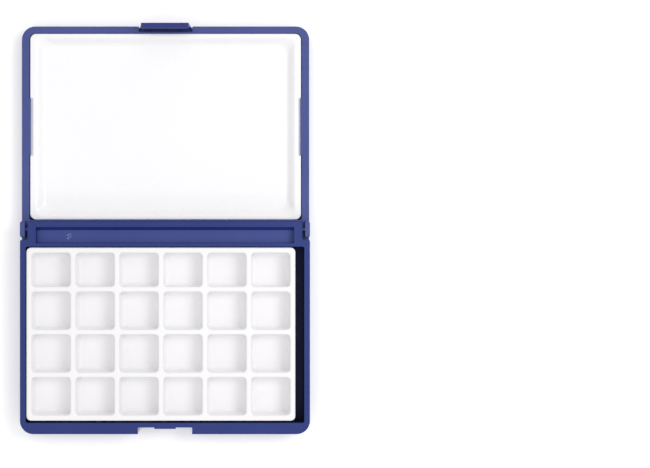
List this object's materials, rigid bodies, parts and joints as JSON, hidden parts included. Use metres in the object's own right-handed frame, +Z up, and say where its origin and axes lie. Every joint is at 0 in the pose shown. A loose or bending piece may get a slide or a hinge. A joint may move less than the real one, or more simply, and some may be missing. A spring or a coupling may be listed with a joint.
{
  "type": "folding mixing palette",
  "caption": "Folding paint palette: shallow case with a well tray and brush trough, lid that lies flat with a mixing tray, swing latch at the lid front.",
  "frame": {"origin": "on the table, under the middle of the hinge axis between base and lid", "axes": "+Z up, +X to the right along the hinge axis, +Y from the base towards the open lid"},
  "size_m": [0.235, 0.3332, 0.0222],
  "materials": {
    "case": "gloss",
    "wells": "gloss",
    "dish": "gloss",
    "latch": "gloss",
    "pin": "satin"
  },
  "bodies": {
    "base": {"base_shell": "case", "hinge_pin_left": "pin", "hinge_pin_right": "pin"},
    "lid": {"lid_shell": "case", "mixing_tray": "dish"},
    "latch": {"latch": "latch"},
    "tray": {"well_tray": "wells"}
  },
  "joints": [
    {"name": "lid_hinge", "type": "hinge", "parent": "base", "child": "lid", "pos_m": [0, 0, 0.016], "axis": [1, 0, 0], "range_deg": [0, 180]},
    {"name": "latch_swing", "type": "hinge", "parent": "lid", "child": "latch", "pos_m": [0, 0.1639, 0.008], "axis": [-1, 0, 0], "range_deg": [-6, 74]},
    {"name": "well_tray_slide", "type": "slide", "parent": "base", "child": "tray", "axis": [1, 0, 0], "range_m": [0, 0.0069]}
  ]
}
